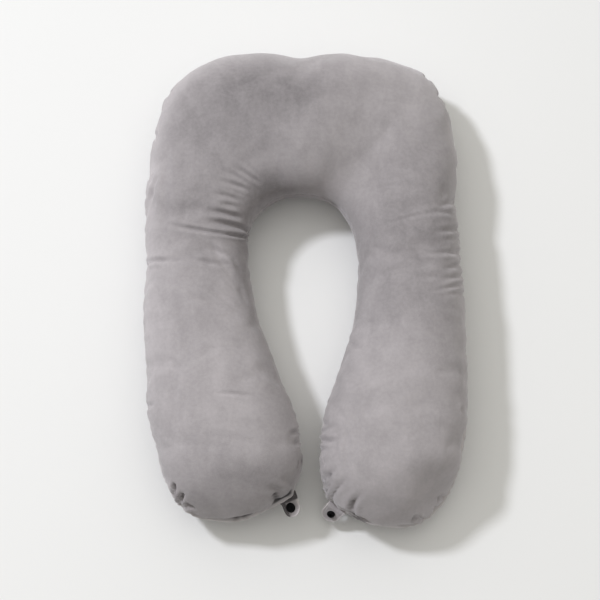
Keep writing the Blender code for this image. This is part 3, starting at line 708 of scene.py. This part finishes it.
def plush_nap_group():
    """Short pile brushed this way and that: soft patches, streaks, a fine mottle and the fibres' grain, with
    painted light and shade added to its tone.
    """
    group = bpy.data.node_groups.new("plush_nap", "ShaderNodeTree")
    socket(group, "Dye", "NodeSocketColor", "INPUT", PLUSH_DYE)
    socket(group, "ToneAndPaintedLight", "NodeSocketFloat", "INPUT", 0.0)
    socket(group, "Patches", "NodeSocketFloat", "INPUT", 0.085)
    socket(group, "Mottle", "NodeSocketFloat", "INPUT", 0.042)
    socket(group, "Grain", "NodeSocketFloat", "INPUT", 0.05)
    socket(group, "Colour", "NodeSocketColor", "OUTPUT")
    socket(group, "Height", "NodeSocketFloat", "OUTPUT")
    enter = group.nodes.new("NodeGroupInput")
    leave = group.nodes.new("NodeGroupOutput")
    place = node(group, "ShaderNodeTexCoord").outputs["Object"]

    def cloud(scale, detail, rough, spread, warp=0.0, stretch=(1, 1, 1)):
        """A cloud from -1 to 1, made from the part of a noise that lies within spread of its middle."""
        laid = node(group, "ShaderNodeMapping", {"Vector": place, "Scale": stretch}).outputs[0]
        noise_of = {"Vector": laid, "Scale": scale, "Detail": detail, "Roughness": rough, "Distortion": warp}
        value = node(group, "ShaderNodeTexNoise", noise_of).outputs["Fac"]
        range_of = {"Value": value, "From Min": 0.5 - spread, "From Max": 0.5 + spread}
        range_of |= {"To Min": -1.0, "To Max": 1.0}
        return node(group, "ShaderNodeMapRange", range_of, interpolation_type="SMOOTHSTEP").outputs[0]

    def times(first, second):
        return sum_of(group, "MULTIPLY", first, second)

    def plus(first, second):
        return sum_of(group, "ADD", first, second)

    patches = cloud(scale=22, detail=3, rough=0.55, spread=0.16, warp=0.6)
    streaks = cloud(scale=70, detail=2, rough=0.5, spread=0.18, warp=0.4, stretch=(1.0, 0.30, 0.5))
    mottle = cloud(scale=210, detail=3, rough=0.6, spread=0.20)
    grain = cloud(scale=1300, detail=2, rough=0.6, spread=0.25)
    broad = plus(times(patches, 1 - STREAK_SHARE), times(streaks, STREAK_SHARE))
    shade = plus(
        plus(times(broad, enter.outputs["Patches"]), times(mottle, enter.outputs["Mottle"])),
        plus(times(grain, enter.outputs["Grain"]), plus(enter.outputs["ToneAndPaintedLight"], 1.0)),
    )
    shaded = node(group, "ShaderNodeVectorMath", {0: enter.outputs["Dye"]}, operation="SCALE")
    group.links.new(shade, shaded.inputs["Scale"])
    group.links.new(shaded.outputs[0], leave.inputs["Colour"])
    height = plus(times(mottle, 1 - GRAIN_SHARE), times(grain, GRAIN_SHARE))
    group.links.new(height, leave.inputs["Height"])
    return group


plush_nap = plush_nap_group()
PILE_SHEEN = 0.5  # it follows the lay of the pile and the painted light, and sinks to next to none in the painted shade of the deepest tucks


def plush_material(name, highlight_share):
    """Plush in its dye, toned by the lay of its pile and by painted light and shade, and lighter by the given
    share under the painted highlight along the seam.
    """
    material = bpy.data.materials.new(name)
    material.use_nodes = True
    tree = material.node_tree
    shader = tree.nodes["Principled BSDF"]
    tone_and_painted_light = node(tree, "ShaderNodeAttribute", attribute_name="pile_tone_and_painted_light").outputs["Fac"]
    nap = node(tree, "ShaderNodeGroup", node_tree=plush_nap)
    nap.inputs["Dye"].default_value = PLUSH_DYE
    tree.links.new(tone_and_painted_light, nap.inputs["ToneAndPaintedLight"])
    sheen_of = {0: tone_and_painted_light, 1: PILE_SHEEN, 2: PILE_SHEEN}
    sheen = node(tree, "ShaderNodeMath", sheen_of, operation="MULTIPLY_ADD", use_clamp=True).outputs[0]
    tree.links.new(sheen, shader.inputs["Sheen Weight"])
    seam = node(tree, "ShaderNodeAttribute", attribute_name="seam_highlight").outputs["Fac"]
    lightness = sum_of(tree, "MULTIPLY", seam, highlight_share)
    colour = between_colours(tree, lightness, nap.outputs["Colour"], SEAM_HIGHLIGHT)
    tree.links.new(colour, shader.inputs["Base Color"])
    shader.inputs["Roughness"].default_value = 0.92
    shader.inputs["Specular IOR Level"].default_value = 0.15
    shader.inputs["Sheen Roughness"].default_value = 0.45
    shader.inputs["Sheen Tint"].default_value = (0.95, 0.93, 0.95, 1)
    fibres = {"Height": nap.outputs["Height"], "Strength": 0.3, "Distance": 0.0005}
    tree.links.new(node(tree, "ShaderNodeBump", fibres).outputs["Normal"], shader.inputs["Normal"])
    return material


pillow_mesh.materials.append(plush_material("pillow_plush", 0.7))
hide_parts("pillow")
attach(pillow, "root")

# ============================================================================ the snap tabs
# Each is a strip of the same plush, folded double, sewn shut near its edge and sewn into the seam at the
# inner corner of an arm's end. A snap is pressed through it, which squeezes the cloth thin round the post.
# bent_side also marks the tab that is darkened with painted shade on its bent side and near its root
Tab = namedtuple("Tab", "root_x root_y root_z heading droop roll bent_side")
TABS = {
    "left": Tab(-0.0245, -0.2735, 0.0500, radians(-68), radians(6), radians(28), 1),
    "right": Tab(0.0415, -0.2838, 0.0345, radians(-137), radians(40), radians(-20), 0),
}
TAB_WIDTH = 0.026
TAB_THICKNESS = 0.0030
TAB_TUCKED_IN = 0.006
TAB_HOLE_RADIUS = 0.0016
TAB_DIRECTIONS, TAB_STEPS = 120, 22  # the points of its mesh, round the snap and out to the edge
FLAT_TO_EDGE = 0.0006
FOLDED_EDGE = ((0.00020, 0.72), (0.00000, 0.45), (0.00025, 0.12))  # in from the edge, share of half thickness
SNAP_FROM_ROOT = 0.0135
SNAP_CAP_RADIUS = 0.0066
SNAP_PRESS, SNAP_PRESS_WIDTH = 0.00035, 0.0016
BEND_END = SNAP_FROM_ROOT - SNAP_CAP_RADIUS
BEND_STEPS = 24
STITCH_FROM_EDGE = 0.0030
STITCH_PRESS, STITCH_PRESS_WIDTH = 0.00045, 0.0007
STITCH_POINTS, STITCH_EVERY, STITCH_LENGTH = 60, 3, 2  # the last two are counted in points
STITCH_SUNK = 0.00035
THREAD_RADIUS = 0.00028
TAB_HIGHLIGHT_WIDTH = 0.0022  # width of the painted highlight round the folded edge
BEND_FROM_MIDDLE, TAB_SIDE_BEND = 0.0052, 60.0
SHADE_FROM_MIDDLE, SHADE_TO_ROOT = 0.0030, 0.0070  # painted shade on the bent side and near the root
SHADE_EASE, ROOT_SHADE_EASE = 0.0040, 0.0020
TAB_SHADE = 0.68


def bent(distance):
    """How much of its droop and roll the tab has at one distance from the seam, from 0 to 1."""
    t = min(1.0, max(0.0, distance / BEND_END))
    return t * t * (3 - 2 * t)


def tab_frame(tab, distance):
    """The place and tilt of the tab's middle line. It leaves the seam level, then droops and rolls."""
    out, down = min(distance, 0.0), 0.0
    step = max(distance, 0.0) / BEND_STEPS
    for k in range(BEND_STEPS):
        droop = tab.droop * bent(step * (k + 0.5))
        out += cos(droop) * step
        down += sin(droop) * step
    droop = Matrix.Rotation(-tab.droop * bent(distance), 4, "X")
    roll = Matrix.Rotation(tab.roll * bent(distance), 4, "Y")
    root = Matrix.Translation((tab.root_x - MIDDLE[0], tab.root_y - MIDDLE[1], tab.root_z))
    heading = Matrix.Rotation(tab.heading - pi / 2, 4, "Z")
    return root @ heading @ Matrix.Translation((0, out, -down)) @ droop @ roll


def tab_edge(direction):
    """How far the tab's edge lies from the snap's middle: a round tip, then straight to the root."""
    c, s = cos(direction), sin(direction)
    if s >= 0:
        return TAB_WIDTH / 2
    to_side = TAB_WIDTH / 2 / max(abs(c), 1e-9)
    to_root = (SNAP_FROM_ROOT + TAB_TUCKED_IN) / max(abs(s), 1e-9)
    return min(to_side, to_root)


def tab_height(reach, edge):
    """Half the tab's thickness at one place: full in the middle, pressed at the stitching and the snap."""
    stitched = STITCH_PRESS * np.exp(-(((edge - reach - STITCH_FROM_EDGE) / STITCH_PRESS_WIDTH) ** 2))
    squeezed = SNAP_PRESS * np.exp(-(((reach - SNAP_CAP_RADIUS) / SNAP_PRESS_WIDTH) ** 2))
    return TAB_THICKNESS / 2 - stitched - squeezed


def on_tab(tab, x, y, height):
    """A place on or in the tab: x aside from its middle line, y out from its root, height over its middle."""
    bend = TAB_SIDE_BEND * max(0.0, tab.bent_side * x - BEND_FROM_MIDDLE) ** 2
    return tab_frame(tab, y) @ Vector((x, 0, height - bend))


def make_tab_mesh(name, tab):
    """The folded strip, with the painted highlight of its edge and the painted shade of its bent side and
    root kept on its points.
    """
    form = bmesh.new()
    rows, rim_highlight, tone_and_painted_light = [], [], []
    for j in range(TAB_DIRECTIONS):
        direction = 2 * pi * j / TAB_DIRECTIONS
        edge = tab_edge(direction)
        flat = edge - FLAT_TO_EDGE - TAB_HOLE_RADIUS
        reaches = [TAB_HOLE_RADIUS + flat * k / TAB_STEPS for k in range(TAB_STEPS + 1)]
        section = [(reach, tab_height(reach, edge)) for reach in reaches]
        section += [(edge - inset, part * TAB_THICKNESS / 2) for inset, part in FOLDED_EDGE]
        section += [(reach, -height) for reach, height in reversed(section)]
        row = []
        for reach, height in section:
            x, y = cos(direction) * reach, SNAP_FROM_ROOT + sin(direction) * reach
            row.append(form.verts.new(on_tab(tab, x, y, height)))
            # painted shade on the bent side and near the root, and a painted highlight round the folded edge
            # where it isn't shaded
            side_shade = smooth_step((tab.bent_side * x - SHADE_FROM_MIDDLE) / SHADE_EASE)
            root_shade = tab.bent_side * smooth_step((SHADE_TO_ROOT - y) / ROOT_SHADE_EASE)
            shade = max(side_shade, root_shade)
            rim_highlight.append(np.exp(-(((edge - reach) / TAB_HIGHLIGHT_WIDTH) ** 2)) * (1 - shade))
            tone_and_painted_light.append(-TAB_SHADE * shade)
        rows.append(row)
    for row, following in zip(rows, rows[1:] + rows[:1]):
        for k in range(len(row)):
            after = (k + 1) % len(row)
            form.faces.new((row[k], following[k], following[after], row[after]))
    bmesh.ops.recalc_face_normals(form, faces=form.faces)
    mesh = bpy.data.meshes.new(name)
    form.to_mesh(mesh)
    form.free()
    store_on_points(mesh, "seam_highlight", rim_highlight)
    store_on_points(mesh, "pile_tone_and_painted_light", tone_and_painted_light)
    mesh.shade_smooth()
    return mesh


def make_stitching(name, tab):
    """The line of thread stitches round the tab's edge, on both faces."""
    form = bmesh.new()
    aside, straight = TAB_WIDTH / 2 - STITCH_FROM_EDGE, SNAP_FROM_ROOT
    whole = 2 * straight + pi * aside
    path = []
    for k in range(STITCH_POINTS + 1):
        run = whole * k / STITCH_POINTS
        if run < straight:
            path.append((-aside, run))
        elif run < straight + pi * aside:
            turn = pi - (run - straight) / aside
            path.append((aside * cos(turn), straight + aside * sin(turn)))
        else:
            path.append((aside, whole - run))
    for face in (1, -1):
        height = face * (TAB_THICKNESS / 2 - STITCH_SUNK)
        for k in range(0, STITCH_POINTS - 1, STITCH_EVERY):
            start, stop = on_tab(tab, *path[k], height), on_tab(tab, *path[k + STITCH_LENGTH], height)
            turn = (stop - start).to_track_quat("Z", "Y").to_matrix().to_4x4()
            stretch = Matrix.Diagonal((1, 1, (stop - start).length / 2 / THREAD_RADIUS, 1))
            spot = Matrix.Translation((start + stop) / 2) @ turn @ stretch
            bmesh.ops.create_uvsphere(form, u_segments=8, v_segments=6, radius=THREAD_RADIUS, matrix=spot)
    mesh = bpy.data.meshes.new(name)
    form.to_mesh(mesh)
    form.free()
    mesh.shade_smooth()
    return mesh


tab_plush = plush_material("tab_plush", 0.6)
thread = bpy.data.materials.new("grey_thread")
thread.use_nodes = True
thread_shader = thread.node_tree.nodes["Principled BSDF"]
THREAD_DARK, THREAD_LIGHT = (0.30, 0.28, 0.29, 1), (0.44, 0.41, 0.42, 1)
twist = node(thread.node_tree, "ShaderNodeTexWave", {"Scale": 900.0, "Distortion": 2.0}, wave_type="BANDS")
thread_tone = between_colours(thread.node_tree, twist.outputs["Fac"], THREAD_DARK, THREAD_LIGHT)
thread.node_tree.links.new(thread_tone, thread_shader.inputs["Base Color"])
thread_shader.inputs["Roughness"].default_value = 0.7

for side, tab in TABS.items():
    strip = bpy.data.objects.new(f"folded_tab_{side}", make_tab_mesh(f"folded_tab_{side}", tab))
    stitching = bpy.data.objects.new(f"tab_stitching_{side}", make_stitching(f"tab_stitching_{side}", tab))
    strip.data.materials.append(tab_plush)
    stitching.data.materials.append(thread)
    for piece in (strip, stitching):
        bpy.context.scene.collection.objects.link(piece)
        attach(piece, "root")
    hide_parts(f"tab_{side}")

# ============================================================================ the press snaps
# Black moulded plastic. On the left tab a cap lies on top and its stud points down. On the right tab the
# socket opens upwards and its cap is beneath. Each cap's post passes through the cloth and is pressed flat.
GAP = 0.0003
POST_RADIUS = TAB_HOLE_RADIUS - GAP
SEAT = TAB_THICKNESS / 2 + GAP
PLATE_RADIUS = 0.0054
SNAP_SIDES = 64
SAME_POINT = 0.000005
SHARP_ANGLE = radians(55)
POST_EDGE, POST_DISH = 0.0003, 0.0002  # how the pressed end of the post is rounded and hollowed
CAP = (  # radius and height over the seat, down the outer side, then along the post
    (0.0000, 0.00130),
    (0.0019, 0.00130),
    (0.0022, 0.00140),
    (0.0026, 0.00152),
    (0.0040, 0.00146),
    (0.0053, 0.00118),
    (0.0061, 0.00078),
    (0.0065, 0.00040),
    (SNAP_CAP_RADIUS, 0.00012),
    (0.0065, -0.00010),
    (0.0058, -0.00018),
    (POST_RADIUS, -0.00010),
)
STUD = (
    (TAB_HOLE_RADIUS, 0.0033),
    (0.0018, 0.0034),
    (0.0021, 0.0033),
    (0.0025, 0.0029),
    (0.0025, 0.0024),
    (0.0022, 0.0014),
    (0.0023, 0.0011),
    (0.0046, 0.0011),
    (0.0051, 0.0010),
    (PLATE_RADIUS, 0.0007),
    (PLATE_RADIUS, 0.0000),
    (TAB_HOLE_RADIUS, 0.0000),
)
SOCKET = (
    (TAB_HOLE_RADIUS, 0.0008),
    (0.0022, 0.0008),
    (0.0025, 0.0010),
    (0.0025, 0.0022),
    (0.0023, 0.0026),
    (0.0024, 0.0030),
    (0.0028, 0.0031),
    (0.0036, 0.0031),
    (0.0040, 0.0029),
    (0.0042, 0.0025),
    (0.0042, 0.0013),
    (0.0044, 0.0011),
    (0.0049, 0.0011),
    (0.0053, 0.0009),
    (PLATE_RADIUS, 0.0006),
    (PLATE_RADIUS, 0.0000),
    (TAB_HOLE_RADIUS, 0.0000),
)


def turned(name, tab, profile, side, closed):
    """A turned piece seated on one side of the tab, about the snap's axis."""
    placed = [(radius, side * (SEAT + height)) for radius, height in profile]
    if side < 0:
        placed.reverse()
    form = bmesh.new()
    points = [form.verts.new((radius, 0, height)) for radius, height in placed]
    edges = [form.edges.new((a, b)) for a, b in zip(points, points[1:])]
    if closed:
        edges.append(form.edges.new((points[-1], points[0])))
    about = {"cent": (0, 0, 0), "axis": (0, 0, 1), "angle": 2 * pi}
    bmesh.ops.spin(form, geom=points + edges, steps=SNAP_SIDES, use_merge=True, **about)
    bmesh.ops.remove_doubles(form, verts=form.verts, dist=SAME_POINT)
    bmesh.ops.recalc_face_normals(form, faces=form.faces)
    form.transform(tab_frame(tab, SNAP_FROM_ROOT))
    mesh = bpy.data.meshes.new(name)
    form.to_mesh(mesh)
    form.free()
    mesh.shade_smooth()
    mesh.set_sharp_from_angle(angle=SHARP_ANGLE)
    return bpy.data.objects.new(name, mesh)


def post(reach):
    """The end of a cap's profile: its post, out of the far side of the cloth by reach, pressed flat."""
    end = -2 * SEAT - reach
    return ((POST_RADIUS, end + POST_EDGE), (POST_RADIUS - POST_EDGE, end), (0.0, end + POST_DISH))


black = bpy.data.materials.new("black_moulded_plastic")
black.use_nodes = True
black_tree = black.node_tree
black_shader = black_tree.nodes["Principled BSDF"]
BLACK_DEEP, BLACK_WORN = (0.0030, 0.0030, 0.0034, 1), (0.0060, 0.0058, 0.0064, 1)
black_place = node(black_tree, "ShaderNodeTexCoord").outputs["Object"]
scuffs_of = {"Vector": black_place, "Scale": 900.0, "Detail": 4.0, "Roughness": 0.7}
scuffs = node(black_tree, "ShaderNodeTexNoise", scuffs_of).outputs["Fac"]
matt_of = {"Value": scuffs, "From Min": 0.3, "From Max": 0.7, "To Min": 0.42, "To Max": 0.60}
matt = node(black_tree, "ShaderNodeMapRange", matt_of).outputs[0]
black_tree.links.new(matt, black_shader.inputs["Roughness"])
black_shader.inputs["Specular IOR Level"].default_value = 0.07
black_tone = between_colours(black_tree, scuffs, BLACK_DEEP, BLACK_WORN)
black_tree.links.new(black_tone, black_shader.inputs["Base Color"])
dimple = node(black_tree, "ShaderNodeBump", {"Height": scuffs, "Strength": 0.08, "Distance": 0.0001})
black_tree.links.new(dimple.outputs["Normal"], black_shader.inputs["Normal"])

Snap = namedtuple("Snap", "name solid tab profile side closed")  # side is 1 on top of the tab, -1 beneath
SNAPS = (
    Snap("snap_cap_left", "cap_left", "left", CAP + post(0.0029), 1, False),
    Snap("snap_stud_left", "stud_left", "left", STUD, -1, True),
    Snap("snap_socket_right", "socket_right", "right", SOCKET, 1, True),
    Snap("snap_cap_right", "cap_right", "right", CAP + post(0.0010), -1, False),
)
for snap in SNAPS:
    piece = turned(snap.name, TABS[snap.tab], snap.profile, snap.side, snap.closed)
    piece.data.materials.append(black)
    bpy.context.scene.collection.objects.link(piece)
    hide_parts(snap.solid)
    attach(piece, "root")

# ============================================================================ the studio
# A wide pale floor under one soft lamp, high to the left and towards the bend. The rest is the light of a
# white room, brightest from the ceiling and from the wall beyond the bend, with a little from both sides.
# The camera looks down steeply, from the side of the arms' ends.
FLOOR_SIZE = 8.0
bpy.ops.mesh.primitive_grid_add(x_subdivisions=4, y_subdivisions=4, size=FLOOR_SIZE, location=(0, 0, 0))
floor = bpy.context.object
floor.name = "studio_floor"
paper = bpy.data.materials.new("pale_floor")
paper.use_nodes = True
paper_shader = paper.node_tree.nodes["Principled BSDF"]
paper_shader.inputs["Base Color"].default_value = (0.80, 0.80, 0.80, 1)
paper_shader.inputs["Roughness"].default_value = 0.9
paper_shader.inputs["Specular IOR Level"].default_value = 0.1
floor.data.materials.append(paper)

LAMP_WAY, LAMP_DISTANCE = Vector((-0.72, 0.46, 1.0)).normalized(), 5.0
lamp_data = bpy.data.lights.new("key_lamp", "AREA")
lamp_data.shape = "DISK"
lamp_data.size = 0.62
lamp_data.energy = 136
lamp_data.color = (0.98, 1.0, 1.06)
lamp = bpy.data.objects.new("key_lamp", lamp_data)
lamp.location = LAMP_WAY * LAMP_DISTANCE - Vector((MIDDLE[0], MIDDLE[1], 0))
lamp.rotation_euler = (-LAMP_WAY).to_track_quat("-Z", "Y").to_euler()
bpy.context.scene.collection.objects.link(lamp)

Glow = namedtuple("Glow", "way sharpness strength")
GLOWS = (  # where the room is bright: the ceiling, the wall beyond the bend, the left and the right
    Glow((0.0, 0.0, 1.0), 4.0, 1.02),
    Glow((0.0, 1.0, 0.6), 2.0, 0.76),
    Glow((-1.0, 0.0, 0.6), 2.0, 0.20),
    Glow((1.0, -0.3, 0.30), 2.0, 0.26),
)
room = bpy.data.worlds.new("white_room")
bpy.context.scene.world = room
room.use_nodes = True
room_tree = room.node_tree
towards = node(room_tree, "ShaderNodeTexCoord").outputs["Generated"]
brightness = None
for glow in GLOWS:
    ways = {0: towards, 1: Vector(glow.way).normalized()}
    facing = node(room_tree, "ShaderNodeVectorMath", ways, operation="DOT_PRODUCT").outputs["Value"]
    shaped = sum_of(room_tree, "POWER", sum_of(room_tree, "MAXIMUM", facing, 0.0), glow.sharpness)
    lit = sum_of(room_tree, "MULTIPLY", shaped, glow.strength)
    brightness = lit if brightness is None else sum_of(room_tree, "ADD", brightness, lit)
background = room_tree.nodes["Background"]
background.inputs["Color"].default_value = (1.0, 0.985, 0.925, 1)
room_tree.links.new(brightness, background.inputs["Strength"])
bpy.context.scene.view_settings.view_transform = "Standard"

CAMERA_ELEVATION = radians(78)
CAMERA_DISTANCE = 2.6
VIEW_WIDTH = 600 * 0.00133  # how much the camera takes in at the pillow's distance, 1.33 mm a pixel
VIEW_MIDDLE = (-0.00798, -0.0113, 0.06)
SENSOR_WIDTH = 36
camera_data = bpy.data.cameras.new("camera")
camera_data.sensor_width = SENSOR_WIDTH
camera_data.lens = SENSOR_WIDTH * CAMERA_DISTANCE / VIEW_WIDTH
camera = bpy.data.objects.new("camera", camera_data)
aim = Vector((VIEW_MIDDLE[0] - MIDDLE[0], VIEW_MIDDLE[1] - MIDDLE[1], VIEW_MIDDLE[2]))
camera.location = aim + Vector((0, -cos(CAMERA_ELEVATION), sin(CAMERA_ELEVATION))) * CAMERA_DISTANCE
camera.rotation_euler = (pi / 2 - CAMERA_ELEVATION, 0, 0)
bpy.context.scene.collection.objects.link(camera)
bpy.context.scene.camera = camera
